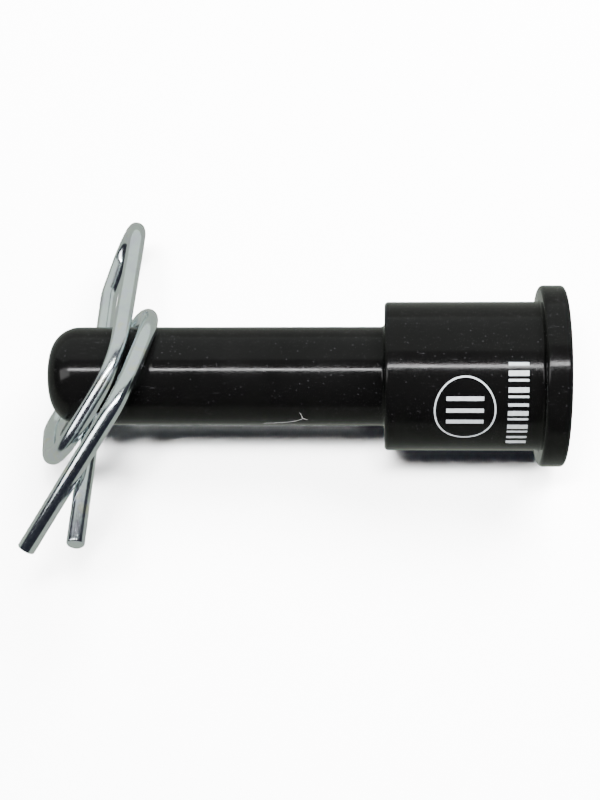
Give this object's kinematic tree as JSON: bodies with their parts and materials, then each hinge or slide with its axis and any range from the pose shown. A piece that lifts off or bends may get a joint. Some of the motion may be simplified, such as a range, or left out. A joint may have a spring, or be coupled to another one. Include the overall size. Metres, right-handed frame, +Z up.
{
  "type": "hitch pin with spring clip",
  "caption": "Turned hitch pin with a stepped head and a cross hole near its rounded nose, locked by a bent spring-wire clip.",
  "frame": {"origin": "centre of the flange's plain outer end face, on the pin's axis", "axes": "+X along the pin's axis, from the nose to the flange; +Z up as it lies on a floor; +Y across, towards the clip's eye"},
  "size_m": [0.1368, 0.0908, 0.0476],
  "materials": {
    "coated_steel": "gloss black coating",
    "zinc_wire": "bright zinc plating"
  },
  "bodies": {
    "pin": {"turned_pin": "coated_steel"},
    "clip": {"spring_clip": "zinc_wire"}
  },
  "joints": [
    {"name": "clip_swing", "type": "hinge", "parent": "pin", "child": "clip", "pos_m": [-0.1198, 0, 0], "axis": [0, -0.907, 0.421], "range_deg": [0, 45]}
  ]
}
